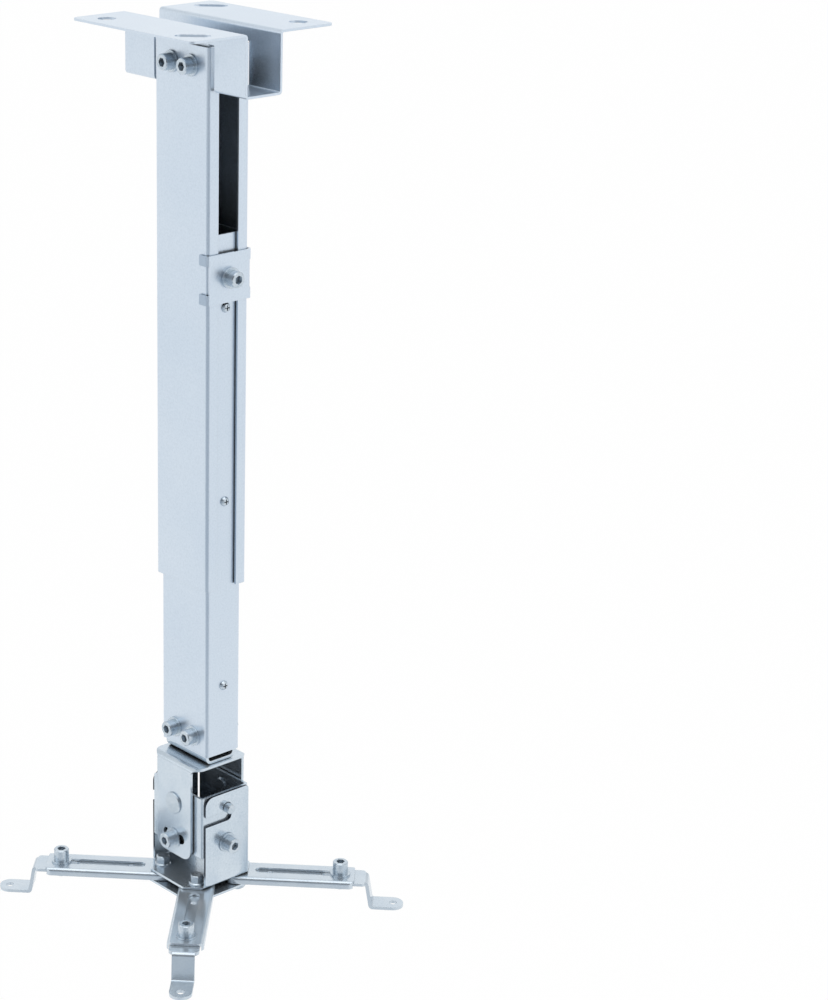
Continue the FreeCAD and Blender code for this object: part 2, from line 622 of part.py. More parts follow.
def swivel_adapter():
    """Folded U whose ears are bolted inside the foot of the inner tube."""
    body = new_body("swivel_adapter")
    outside, inside = "adapter_wide / 2", "adapter_wide / 2 - adapter_thick"
    foot, head = "-adapter_foot", "-adapter_foot + adapter_ear_tall"
    section = new_sketch(body, "adapter_section", "YZ_Plane")
    outline(section, [
        (outside, head, "0"),
        (inside, head, "0"),
        (inside, foot + " + adapter_thick", "adapter_fold"),
        ("-(%s)" % inside, foot + " + adapter_thick", "adapter_fold"),
        ("-(%s)" % inside, head, "0"),
        ("-(%s)" % outside, head, "0"),
        ("-(%s)" % outside, foot, "adapter_fold + adapter_thick"),
        (outside, foot, "adapter_fold + adapter_thick"),
    ])
    pad(body, section, "adapter_ears")
    bolts = new_sketch(body, "adapter_bolt_holes", "XZ_Plane")
    for side in ("", "-"):
        circle(bolts, side + "bolt_pair_spacing / 2", "-adapter_bolt_down", "bolt_radius + bolt_gap")
    cut(body, bolts, "2 * adapter_wide")
    centre = new_sketch(body, "adapter_swivel_hole", "XY_Plane", foot)
    circle(centre, "0", "0", "swivel_radius + pivot_gap")
    cut(body, centre, "4 * adapter_thick")
    return body


def swivel_fasteners():
    """Bolt down through the adapter and the tilt frame, held by a nut below."""
    seat = -size("adapter_foot - adapter_thick - pivot_face_gap - washer_thick")
    under = -size("tilt_top + tilt_thick")
    shank, thick = size("swivel_radius"), size("washer_thick")
    low = under - size("swivel_nut_tall") - size("bolt_end")
    stem = Part.makeCylinder(shank, seat - low, Vector(0, 0, low))
    corner = size("swivel_flats") / math.sqrt(3)
    tall = size("swivel_head_tall")
    edge, edge_tall = 1.2, 0.8
    dome = turned([(0, 0), (corner, 0), (corner, tall - edge_tall), (corner - edge, tall), (0, tall)])
    head = hexagon(size("swivel_flats"), tall).common(dome)
    group("swivel_bolt", [stem.fuse(put(head, (0, 0, seat))).removeSplitter()])
    ring = washer(size("swivel_washer_radius"), thick, shank + size("bolt_gap"))
    group("swivel_washer", [put(ring, (0, 0, seat - thick))])
    block = nut(size("swivel_flats"), size("swivel_nut_tall"), shank + size("tight_gap"))
    group("swivel_nut", [put(block, (0, 0, under), DOWN)])


# Head

def arc_slot(sketch, axis_down, half_angle, play):
    """Slot along an arc below an axis, for a lock screw that swings about that axis."""
    middle = size("lock_radius_arm")
    half = math.radians(size(half_angle))
    radius = size("bolt_radius") + size(play)
    centre = Vector(0, -size(axis_down), 0)
    normal = Vector(0, 0, 1)
    down = -math.pi / 2
    inner = sketch.addGeometry(Part.ArcOfCircle(
        Part.Circle(centre, normal, middle - radius), down - half, down + half))
    outer = sketch.addGeometry(Part.ArcOfCircle(
        Part.Circle(centre, normal, middle + radius), down - half, down + half))
    for arc in (inner, outer):
        place_point(sketch, arc, 3, "0", "-(%s)" % axis_down)
    ends = []
    for side in (-1, 1):
        angle = down + side * half
        along = Vector(math.cos(angle), math.sin(angle), 0)
        beyond = Vector(-along.y, along.x, 0) * side * radius
        tip = centre + along * middle
        ends.append(sketch.addGeometry(Part.Arc(tip - along * radius, tip + beyond, tip + along * radius)))
    for end, spot in ((ends[0], 1), (ends[1], 2)):
        for arc in (inner, outer):
            corner = sketch.getPoint(arc, spot)
            near = 1 if sketch.getPoint(end, 1).distanceToPoint(corner) < 1e-6 else 2
            sketch.addConstraint(Sketcher.Constraint("Tangent", arc, spot, end, near))
    constrain(sketch, "Radius", (inner,), "lock_radius_arm - bolt_radius - %s" % play)
    constrain(sketch, "Radius", (outer,), "lock_radius_arm + bolt_radius + %s" % play)
    for end, sign in ((ends[0], "-"), (ends[1], "")):
        constrain(sketch, "DistanceX", (-1, 1, end, 3), "%slock_radius_arm * sin(%s)" % (sign, half_angle))


def tilt_frame():
    """Inverted U: a top plate with two sides that carry the tilt rivets and arc slots."""
    body = new_body("tilt_frame")
    outside, inside = "tilt_wide / 2", "tilt_wide / 2 - tilt_thick"
    top, foot = "-tilt_top", "-tilt_top - tilt_tall"
    section = new_sketch(body, "tilt_section", "YZ_Plane")
    outline(section, [
        (outside, foot, "0"),
        (outside, top, "tilt_fold + tilt_thick"),
        ("-(%s)" % outside, top, "tilt_fold + tilt_thick"),
        ("-(%s)" % outside, foot, "0"),
        ("-(%s)" % inside, foot, "0"),
        ("-(%s)" % inside, top + " - tilt_thick", "tilt_fold"),
        (inside, top + " - tilt_thick", "tilt_fold"),
        (inside, foot, "0"),
    ])
    pad(body, section, "tilt_top_deep")
    # The sides are narrower than the top and round at their lower corners
    side_form = new_sketch(body, "tilt_side_form", "XZ_Plane")
    edge, limit = "tilt_side_deep / 2", "tilt_top_deep / 2 + 1"
    shoulder, below = top + " - tilt_thick", foot + " - 1"
    outline(side_form, [
        ("-(%s)" % limit, shoulder, "0"),
        ("-(%s)" % edge, shoulder, "tilt_neck"),
        ("-(%s)" % edge, foot, "tilt_corner"),
        (edge, foot, "tilt_corner"),
        (edge, shoulder, "tilt_neck"),
        (limit, shoulder, "0"),
        (limit, below, "0"),
        ("-(%s)" % limit, below, "0"),
    ])
    cut(body, side_form, "tilt_wide + 2")
    corners = new_sketch(body, "tilt_top_corners", "XY_Plane", top)
    rounded_box(corners, "tilt_top_deep", "tilt_wide", "1")
    rounded_box(corners, "tilt_top_deep / 2", outside, "tilt_top_corner")
    cut(body, corners, "4 * tilt_thick")
    holes = new_sketch(body, "tilt_pivot_holes", "XZ_Plane")
    circle(holes, "0", "-tilt_axis", "rivet_shank_radius + pivot_gap")
    cut(body, holes, "tilt_wide + 2")
    slots = new_sketch(body, "tilt_slots", "XZ_Plane")
    arc_slot(slots, "tilt_axis", "tilt_slot_half", "bolt_gap")
    cut(body, slots, "tilt_wide + 2")
    centre = new_sketch(body, "tilt_swivel_hole", "XY_Plane", top)
    circle(centre, "0", "0", "swivel_radius + bolt_gap")
    cut(body, centre, "4 * tilt_thick")
    return body


def gimbal_box():
    """Strip folded into a four-sided ring, between the tilt frame and the cradle."""
    body = new_body("gimbal_box")
    section = new_sketch(body, "gimbal_section", "XY_Plane", "-gimbal_middle")
    deep, wide = "gimbal_deep / 2", "gimbal_wide / 2"
    rounded_box(section, deep, wide, "gimbal_corner")
    rounded_box(section, deep + " - gimbal_thick", wide + " - gimbal_thick", "gimbal_corner - gimbal_thick")
    pad(body, section, "gimbal_tall")
    # The strip's ends leave a seam open at one corner
    seam = new_sketch(body, "gimbal_seam_gap", "XY_Plane", "-gimbal_middle")
    aside = "gimbal_seam / 2 * sqrt(2)"
    across, along = "-gimbal_deep / 2", "gimbal_wide / 2"
    outline(seam, [
        ("%s - 1 - %s" % (across, aside), along + " + 1", "0"),
        ("%s + gimbal_corner + 1 - %s" % (across, aside), along + " - gimbal_corner - 1", "0"),
        ("%s + gimbal_corner + 1 + %s" % (across, aside), along + " - gimbal_corner - 1", "0"),
        ("%s - 1 + %s" % (across, aside), along + " + 1", "0"),
    ])
    cut(body, seam, "gimbal_tall + 2")
    sides = new_sketch(body, "gimbal_side_holes", "XZ_Plane")
    circle(sides, "0", "-tilt_axis", "rivet_shank_radius + tight_gap")
    circle(sides, "0", "-lock_down", "bolt_radius + tight_gap")
    cut(body, sides, "gimbal_wide + 2")
    ends = new_sketch(body, "gimbal_end_holes", "YZ_Plane")
    circle(ends, "0", "-tilt_axis", "stud_shank_radius + tight_gap")
    circle(ends, "0", "-lock_down", "bolt_radius + tight_gap")
    cut(body, ends, "gimbal_deep + 2")
    return body


def tilt_rivets():
    """Flat-headed rivets: fixed in the gimbal box, turning in the tilt frame."""
    wall = size("gimbal_wide") / 2 - size("gimbal_thick")
    seat = size("tilt_wide") / 2 + size("pivot_face_gap")
    length = seat - wall
    head, shank, tall = size("rivet_head_radius"), size("rivet_shank_radius"), size("rivet_head_tall")
    inner_head, inner_tall, slope, edge = shank + 1.6, 1.4, 0.8, 0.4
    rivet = turned([(0, -length - inner_tall), (inner_head - slope, -length - inner_tall),
                    (inner_head, -length), (shank, -length), (shank, 0), (head, 0),
                    (head, tall - edge), (head - edge, tall), (0, tall)])
    down = size("tilt_axis")
    group("tilt_pivot_rivets", [put(rivet, (0, -seat, -down), TO_Y_MINUS),
                                put(rivet, (0, seat, -down), TO_Y_PLUS)])


def lock_set(prefix, face, wall, turns, place):
    """Lock screws with a plain and a spring washer, threaded into nuts inside the gimbal box."""
    plain, spring = size("washer_thick"), size("spring_washer_thick")
    gap = size("pivot_face_gap")
    stack = face + gap + plain + spring
    reach = stack - wall + size("nut_tall") + size("bolt_end")
    screw = cap_screw(reach, size("lock_cap_tall"))
    hole = size("bolt_radius") + size("bolt_gap")
    flat = washer(size("washer_radius"), plain, hole)
    ring = washer(size("spring_washer_radius"), spring, hole)
    block = nut(size("nut_flats"), size("nut_tall"), size("bolt_radius + tight_gap"))
    opposite = {0: turns[1], 1: turns[0]}
    screws, flats, rings, nuts = [], [], [], []
    for index, (turn, sign) in enumerate(zip(turns, (-1, 1))):
        screws.append(put(screw, place(sign * stack), turn))
        flats.append(put(flat, place(sign * (face + gap)), turn))
        rings.append(put(ring, place(sign * (face + gap + plain)), turn))
        nuts.append(put(block, place(sign * wall), opposite[index]))
    group(prefix + "_screws", screws)
    group(prefix + "_washers", flats)
    group(prefix + "_spring_washers", rings)
    group(prefix + "_nuts", nuts)


def lock_fasteners():
    down = -size("lock_down")
    lock_set("tilt_lock", size("tilt_wide") / 2, size("gimbal_wide / 2 - gimbal_thick"),
             (TO_Y_MINUS, TO_Y_PLUS), lambda far: (0, far, down))
    lock_set("roll_lock", size("cradle_deep") / 2, size("gimbal_deep / 2 - gimbal_thick"),
             (TO_X_MINUS, TO_X_PLUS), lambda far: (far, 0, down))


def hook_studs():
    """Studs riveted into the ends of the gimbal box, on which the cradle hangs."""
    wall = size("gimbal_deep / 2 - gimbal_thick")
    face = size("gimbal_deep / 2")
    tip = size("cradle_deep / 2 + stud_stand") - face
    thick = face - wall
    radius, shank = size("stud_radius"), size("stud_shank_radius")
    inner_head, inner_tall, edge = shank + 1.2, 1.2, 0.6
    stud = turned([(0, -thick - inner_tall), (inner_head - edge, -thick - inner_tall),
                   (inner_head, -thick), (shank, -thick), (shank, 0), (radius, 0),
                   (radius, tip - edge), (radius - edge, tip), (0, tip)])
    down = -size("tilt_axis")
    group("hook_studs", [put(stud, (-face, 0, down), TO_X_MINUS), put(stud, (face, 0, down), TO_X_PLUS)])


def cradle():
    """Folded tray: a floor and two sides whose hook slots drop over the studs."""
    body = new_body("cradle")
    outside, inside = "cradle_deep / 2", "cradle_deep / 2 - cradle_thick"
    top, foot = "-tilt_axis + cradle_rise", "-cradle_foot"
    section = new_sketch(body, "cradle_section", "XZ_Plane")
    outline(section, [
        (outside, top, "0"),
        (inside, top, "0"),
        (inside, foot + " + cradle_thick", "cradle_fold"),
        ("-(%s)" % inside, foot + " + cradle_thick", "cradle_fold"),
        ("-(%s)" % inside, top, "0"),
        ("-(%s)" % outside, top, "0"),
        ("-(%s)" % outside, foot, "cradle_fold + cradle_thick"),
        (outside, foot, "cradle_fold + cradle_thick"),
    ])
    pad(body, section, "cradle_floor")
    # Sides: narrower than the floor, with rounded upper corners
    side_form = new_sketch(body, "cradle_side_form", "YZ_Plane")
    near, far, limit = "-cradle_side / 2", "cradle_side / 2", "cradle_floor / 2 + 1"
    outline(side_form, [
        ("-(%s)" % limit, foot + " + cradle_thick", "0"),
        (near, foot + " + cradle_thick", "0"),
        (near, top, "cradle_near_corner"),
        (far, top, "cradle_corner"),
        (far, foot + " + cradle_thick", "0"),
        (limit, foot + " + cradle_thick", "0"),
        (limit, top + " + 1", "0"),
        ("-(%s)" % limit, top + " + 1", "0"),
    ])
    cut(body, side_form, "cradle_deep + 2")
    # The floor's corners are cut from the ends of the sides to the ends of the floor
    corners = new_sketch(body, "cradle_floor_corners", "XY_Plane", foot)
    end = "cradle_floor / 2"
    run = "(cradle_floor - cradle_side) / 2"
    for across, along in (("", ""), ("-", ""), ("-", "-"), ("", "-")):
        outline(corners, [
            ("%s(%s - %s)" % (across, outside, run), "%s(%s + 0.01)" % (along, end), "0"),
            ("%s(%s + 1)" % (across, outside), "%s(%s + 0.01)" % (along, end), "0"),
            ("%s(%s + 1)" % (across, outside), "%scradle_side / 2" % along, "0"),
            ("%s(%s)" % (across, outside), "%scradle_side / 2" % along, "0"),
        ])
    cut(body, corners, "4 * (cradle_fold + cradle_thick)")
    hook = new_sketch(body, "cradle_hook_slots", "YZ_Plane")
    axis = "-tilt_axis"
    low = axis + " - hook_drop - hook_half"
    mouth_top = axis + " - hook_drop + hook_half"
    outline(hook, [
        (near + " - 1", low, "0"),
        ("hook_half", low, "hook_half - 0.1"),
        ("hook_half", axis + " + hook_half", "hook_half - 0.05"),
        ("-hook_half", axis + " + hook_half", "hook_half - 0.05"),
        ("-hook_half", mouth_top, "0.8"),
        (near + " - 1", mouth_top, "0"),
    ])
    cut(body, hook, "cradle_deep + 2")
    roll = new_sketch(body, "cradle_roll_slots", "YZ_Plane")
    arc_slot(roll, "tilt_axis", "roll_slot_half", "bolt_gap")
    cut(body, roll, "cradle_deep + 2")
    pivots = new_sketch(body, "cradle_pivot_holes", "XY_Plane", foot)
    four_pivots(pivots, "bolt_radius + pivot_gap")
    cut(body, pivots, "4 * cradle_thick")
    return body


def four_pivots(sketch, radius):
    for across, along in (("", ""), ("-", ""), ("-", "-"), ("", "-")):
        circle(sketch, across + "pivot_offset", along + "pivot_offset", radius)


def base_plate():
    """Plate that closes the stack of arms from below."""
    body = new_body("base_plate")
    form = new_sketch(body, "plate_form", "XY_Plane", "-plate_top - plate_thick / 2")
    deep, wide = "plate_deep / 2", "plate_wide / 2"
    near_deep, near_wide = deep + " - plate_corner", wide + " - plate_corner"
    outline(form, [
        (deep, near_wide, "1"),
        (near_deep, wide, "1"),
        ("-(%s)" % near_deep, wide, "1"),
        ("-(%s)" % deep, near_wide, "1"),
        ("-(%s)" % deep, "-(%s)" % near_wide, "1"),
        ("-(%s)" % near_deep, "-(%s)" % wide, "1"),
        (near_deep, "-(%s)" % wide, "1"),
        (deep, "-(%s)" % near_wide, "1"),
    ])
    pad(body, form, "plate_thick")
    pivots = new_sketch(body, "plate_pivot_holes", "XY_Plane", "-plate_top")
    four_pivots(pivots, "bolt_radius + pivot_gap")
    cut(body, pivots, "4 * plate_thick")
    return body


def pivot_fasteners():
    """Flanged bolts down through the floor, an arm and the base plate."""
    seat = -size("cradle_foot - cradle_thick")
    under = -size("plate_top + plate_thick")
    shank, flange = size("bolt_radius"), size("pivot_flange_radius")
    thick = size("pivot_flange_thick")
    length = seat - under + size("nut_tall + bolt_end")
    edge, edge_tall = 1.0, 0.7
    flats = size("pivot_head_flats")
    corner = flats / math.sqrt(3)
    collar = turned([(0, -length), (shank, -length), (shank, 0), (flange, 0), (flange, thick / 2),
                     (corner, thick), (0, thick)])
    tall = size("pivot_hex_tall")
    dome = turned([(0, 0), (corner, 0), (corner, tall - edge_tall), (corner - edge, tall), (0, tall)])
    head = put(hexagon(flats, tall).common(dome), (0, 0, thick), FLAT_ASIDE)
    bolt = collar.fuse(head).removeSplitter()
    block = nut(size("nut_flats"), size("nut_tall"), shank + size("tight_gap"))
    offset = size("pivot_offset")
    places = [(x * offset, y * offset) for x in (-1, 1) for y in (-1, 1)]
    group("arm_pivot_bolts", [put(bolt, (x, y, seat)) for x, y in places])
    group("arm_pivot_nuts", [put(block, (x, y, under), DOWN) for x, y in places])


# Arms, each along X from its pivot

ARMS = (("front", 1, -1, -45), ("right", 1, 1, 45), ("back", -1, 1, 135), ("left", -1, -1, 225))


def arm_placement(across, along, angle):
    offset = size("pivot_offset")
    return Placement(Vector(across * offset, along * offset, 0), Rotation(Vector(0, 0, 1), angle))


def place_body(body, across, along, angle):
    body.Placement = arm_placement(across, along, angle)
    body.setExpression("Placement.Base.x", bind("%d * pivot_offset" % across))
    body.setExpression("Placement.Base.y", bind("%d * pivot_offset" % along))


def arm_channel(name):
    """Inverted channel with a round inner end, a pivot hole and a long slot."""
    body = new_body(name)
    half, inside = "arm_wide / 2", "arm_wide / 2 - column_wall"
    top, low = "-arm_top", "-arm_top - arm_deep"
    section = new_sketch(body, name + "_section", "YZ_Plane", "(arm_length - arm_wide / 2) / 2")
    outline(section, [
        (half, low, "0"),
        (half, top, "fold_outside"),
        ("-(%s)" % half, top, "fold_outside"),
        ("-(%s)" % half, low, "0"),
        ("-(%s)" % inside, low, "0"),
        ("-(%s)" % inside, top + " - column_wall", "fold_inside"),
        (inside, top + " - column_wall", "fold_inside"),
        (inside, low, "0"),
    ])
    pad(body, section, "arm_length + arm_wide / 2")
    plan = new_sketch(body, name + "_plan", "XY_Plane", top)
    rounded_box(plan, "2 * arm_length", "arm_wide", "1")
    outline(plan, [
        ("arm_length", half, "arm_corner"),
        ("-(%s)" % half, half, "%s - 0.05" % half),
        ("-(%s)" % half, "-(%s)" % half, "%s - 0.05" % half),
        ("arm_length", "-(%s)" % half, "arm_corner"),
    ])
    cut(body, plan, "4 * arm_deep")
    holes = new_sketch(body, name + "_holes", "XY_Plane", top)
    circle(holes, "0", "0", "bolt_radius + pivot_gap")
    slot(holes, ("arm_slot_start", "0"), ("arm_screw_at", "0"), "arm_slot_radius")
    cut(body, holes, "4 * column_wall")
    return body


def extension_strip(name):
    """Strip, wide inside the arm and narrow beyond it, that drops and ends in a round foot."""
    body = new_body(name)
    top, under = "-strip_top", "-strip_top - strip_thick"
    foot, sole = "-strip_foot", "-strip_foot - strip_thick"
    section = new_sketch(body, name + "_section", "XZ_Plane")
    outer_fold = "strip_fold + strip_thick"
    outline(section, [
        ("strip_start", top, "0"),
        ("strip_bend_at", top, outer_fold),
        ("strip_bend_at + strip_lean", foot, "strip_fold"),
        ("strip_tip_at", foot, "0"),
        ("strip_tip_at", sole, "0"),
        ("strip_bend_at + strip_lean - strip_thick", sole, outer_fold),
        ("strip_bend_at - strip_thick", under, "strip_fold"),
        ("strip_start", under, "0"),
    ])
    pad(body, section, "strip_slide_wide")
    plan = new_sketch(body, name + "_plan", "XY_Plane", top)
    half, slide = "strip_wide / 2", "strip_slide_wide / 2"
    shoulder = "strip_bend_at - strip_thick"
    rounded_box(plan, "2 * strip_tip_at", "strip_slide_wide", "1")
    outline(plan, [
        ("strip_tip_at", half, half + " - 0.05"),
        (shoulder, half, "0"),
        (shoulder, slide, "strip_corner"),
        ("strip_start", slide, "strip_corner"),
        ("strip_start", "-(%s)" % slide, "strip_corner"),
        (shoulder, "-(%s)" % slide, "strip_corner"),
        (shoulder, "-(%s)" % half, "0"),
        ("strip_tip_at", "-(%s)" % half, half + " - 0.05"),
    ])
    cut(body, plan, "4 * strip_drop")
    holes = new_sketch(body, name + "_holes", "XY_Plane", top)
    slot(holes, ("arm_screw_at - strip_travel", "0"), ("arm_screw_at", "0"), "strip_slot_radius")
    circle(holes, "strip_hole_at", "0", "strip_hole_radius")
    cut(body, holes, "4 * strip_thick")
    foot_hole = new_sketch(body, name + "_foot_hole", "XY_Plane", foot)
    circle(foot_hole, "foot_hole_at", "0", "foot_hole_radius")
    cut(body, foot_hole, "4 * strip_thick")
    return body


def arm_fasteners(name, placement):
    """Clamp screw through the arm and the strip, with its washer above and nut below."""
    at, top = size("arm_screw_at"), -size("arm_top")
    thick = size("washer_thick")
    under = -size("strip_top + strip_thick + strip_gap")
    seat = top + thick
    reach = seat - under + size("nut_tall") + size("bolt_end") / 2
    group(name + "_clamp_screw", [put(cap_screw(reach, size("arm_cap_tall")), (at, 0, seat))], placement)
    ring = washer(size("washer_radius"), thick, size("bolt_radius + bolt_gap"))
    group(name + "_clamp_washer", [put(ring, (at, 0, top))], placement)
    block = nut(size("nut_flats"), size("nut_tall"), size("bolt_radius + tight_gap"))
    group(name + "_clamp_nut", [put(block, (at, 0, under), DOWN)], placement)


def arms():
    for word, across, along, angle in ARMS:
        place_body(arm_channel(word + "_arm"), across, along, angle)
        place_body(extension_strip(word + "_strip"), across, along, angle)
        arm_fasteners(word + "_arm", arm_placement(across, along, angle))


def build():
    ceiling_bracket()
    bolt_pair("column_top", size("top_bolt_down"), size("outer_wide") / 2)
    outer_tube()
    inner_tube()
    guide_screws()
    clamp_plate()
    clamp_fasteners()
    swivel_adapter()
    bolt_pair("adapter", size("adapter_bolt_down"), size("inner_wide") / 2)
    swivel_fasteners()
    tilt_frame()
    tilt_rivets()
    gimbal_box()
    lock_fasteners()
    hook_studs()
    cradle()
    base_plate()
    pivot_fasteners()
    arms()
    doc.recompute()


def check():
    """Stops at any feature that failed and any node whose shape is not sound."""
    for item in doc.Objects:
        if "Invalid" in item.State or "Error" in item.State:
            raise RuntimeError("%s failed: %s" % (item.Name, item.State))
    for node in nodes():
        if node.Shape.isNull() or not node.Shape.isValid():
            raise RuntimeError("%s has no sound shape" % node.Label)


def nodes():
    return [item for item in doc.Objects
            if item.TypeId in ("PartDesign::Body", "Part::Feature")]


def export():
    os.makedirs("parts", exist_ok=True)
    for node in nodes():
        node.Shape.exportStep(os.path.join("parts", node.Label + ".step"))
        print(node.Label, "solids", len(node.Shape.Solids), "volume %.1f" % node.Shape.Volume)


build()
check()
export()
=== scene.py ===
import math

import bmesh
import bpy
from mathutils import Matrix, Vector


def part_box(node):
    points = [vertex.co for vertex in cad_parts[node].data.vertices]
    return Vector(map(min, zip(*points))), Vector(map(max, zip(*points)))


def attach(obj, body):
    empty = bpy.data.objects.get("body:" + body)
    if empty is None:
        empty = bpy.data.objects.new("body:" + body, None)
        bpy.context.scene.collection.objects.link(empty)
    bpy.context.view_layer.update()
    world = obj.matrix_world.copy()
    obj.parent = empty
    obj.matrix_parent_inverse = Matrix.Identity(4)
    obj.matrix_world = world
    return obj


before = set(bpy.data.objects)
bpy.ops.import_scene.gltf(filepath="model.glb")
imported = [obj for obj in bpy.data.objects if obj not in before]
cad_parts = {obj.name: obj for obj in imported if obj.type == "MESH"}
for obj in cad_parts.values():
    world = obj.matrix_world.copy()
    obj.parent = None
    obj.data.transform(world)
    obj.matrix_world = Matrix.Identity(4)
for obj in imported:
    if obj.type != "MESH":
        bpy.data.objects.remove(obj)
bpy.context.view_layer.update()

MM = 0.001

# Camera of the photograph, in the mount's own frame
CAMERA_PLACE = Vector((1.16519, -0.96373, 0.23869))
CAMERA_YAW = math.radians(50.406)
CAMERA_PITCH = math.radians(19.602)
CAMERA_ROLL = math.radians(0.134)
FOCAL_PIXELS = 2556.58
FRAME_WIDE = 828
FRAME_TALL = 1000
PRINCIPAL_X = 201.126
SENSOR = 36.0


def make_camera():
    """Camera at the photograph's viewing angle; the shift brings the mount to the left of the frame."""
    level = Vector((math.cos(CAMERA_YAW), math.sin(CAMERA_YAW), 0))
    ahead = Vector((-math.sin(CAMERA_YAW) * math.cos(CAMERA_PITCH),
                    math.cos(CAMERA_YAW) * math.cos(CAMERA_PITCH),
                    -math.sin(CAMERA_PITCH)))
    upward = level.cross(ahead)
    right = level * math.cos(CAMERA_ROLL) + upward * math.sin(CAMERA_ROLL)
    up = upward * math.cos(CAMERA_ROLL) - level * math.sin(CAMERA_ROLL)
    data = bpy.data.cameras.new("photo_camera")
    data.sensor_fit = "AUTO"
    data.sensor_width = SENSOR
    data.lens = FOCAL_PIXELS / FRAME_TALL * SENSOR
    data.shift_x = (FRAME_WIDE / 2 - PRINCIPAL_X) / FRAME_TALL
    data.clip_start = 0.05
    data.clip_end = 100
    camera = bpy.data.objects.new("photo_camera", data)
    turn = Matrix((right, up, -ahead)).transposed()
    camera.matrix_world = Matrix.Translation(CAMERA_PLACE) @ turn.to_4x4()
    bpy.context.scene.collection.objects.link(camera)
    bpy.context.scene.camera = camera


# Material helpers

# Pale colour that the rounded edges turn towards: a painted highlight
PAINTED_EDGE_HIGHLIGHT = "#F4F8FC"


def linear(colour):
    """Turns an sRGB hex colour into the linear values that the shaders take."""
    parts = [int(colour[i:i + 2], 16) / 255 for i in (1, 3, 5)]
    return tuple(c / 12.92 if c <= 0.04045 else ((c + 0.055) / 1.055) ** 2.4 for c in parts) + (1.0,)


def across(millimetres):
    """Noise scale whose features are about this many millimetres across."""
    return 1 / (millimetres * MM)


def add(tree, kind, values=None, links=None, **settings):
    """Adds a node, sets its properties and socket values, and links other outputs to its sockets."""
    node = tree.nodes.new(kind)
    for name, value in settings.items():
        setattr(node, name, value)
    for socket, value in (values or {}).items():
        node.inputs[socket].default_value = value
    for socket, source in (links or {}).items():
        tree.links.new(source, node.inputs[socket])
    return node


def tones(node, steps):
    """Fills a colour ramp with (place, hex colour) steps and returns its colour."""
    elements = node.color_ramp.elements
    elements.remove(elements[-1])
    for index, (place, colour) in enumerate(steps):
        element = elements[0] if index == 0 else elements.new(place)
        element.position = place
        element.color = linear(colour)
    return node.outputs["Color"]


def painted_ao_shade(tree, reach_mm, samples, closed, opened, shade):
    """1 where a face is open, falling to the shade where others stand round it within the reach; multiplied
    into a colour, this is painted shade.
    """
    openness = add(tree, "ShaderNodeAmbientOcclusion", {"Distance": reach_mm * MM}, samples=samples)
    return add(tree, "ShaderNodeMapRange", {"From Min": closed, "From Max": opened, "To Min": shade},
               {"Value": openness.outputs["AO"]}, interpolation_type="SMOOTHSTEP").outputs["Result"]


def painted_hollow_shade(tree, seam_open, seam_shade):
    """Painted shade deep inside tubes and the head, and in narrow gaps and joints."""
    deep = painted_ao_shade(tree, 60, 8, 0.01, 0.32, 0.03)
    seam = painted_ao_shade(tree, 3.5, 5, 0.05, seam_open, seam_shade)
    return add(tree, "ShaderNodeMath", links={0: deep, 1: seam}, operation="MULTIPLY").outputs[0]


def clamp_tab_shade_mask(tree, place):
    """1 on the clamp plate's tabs, which are bent back round the outer tube; there the coat takes painted
    shade.
    """
    along_x = add(tree, "ShaderNodeSeparateXYZ", links={0: place}).outputs["X"]
    return add(tree, "ShaderNodeMapRange", {"From Min": 25.4 * MM, "From Max": 25.0 * MM},
               {"Value": along_x}).outputs["Result"]


def ear_edge_shade_mask(tree, place):
    """1 on the sheared edges of the cradle's ears, whose faces point along X, above its floor; there the
    plate takes painted shade.
    """
    facing = add(tree, "ShaderNodeTexCoord").outputs["Normal"]
    sideways = add(tree, "ShaderNodeSeparateXYZ", links={0: facing}).outputs["X"]
    turned = add(tree, "ShaderNodeMath", links={0: sideways}, operation="ABSOLUTE").outputs[0]
    edge = add(tree, "ShaderNodeMapRange", {"From Min": 0.8, "From Max": 0.5}, {"Value": turned})
    height = add(tree, "ShaderNodeSeparateXYZ", links={0: place}).outputs["Z"]
    ear = add(tree, "ShaderNodeMapRange", {"From Min": -551 * MM, "From Max": -547 * MM}, {"Value": height})
    return add(tree, "ShaderNodeMath", links={0: edge.outputs["Result"], 1: ear.outputs["Result"]},
               operation="MULTIPLY").outputs[0]


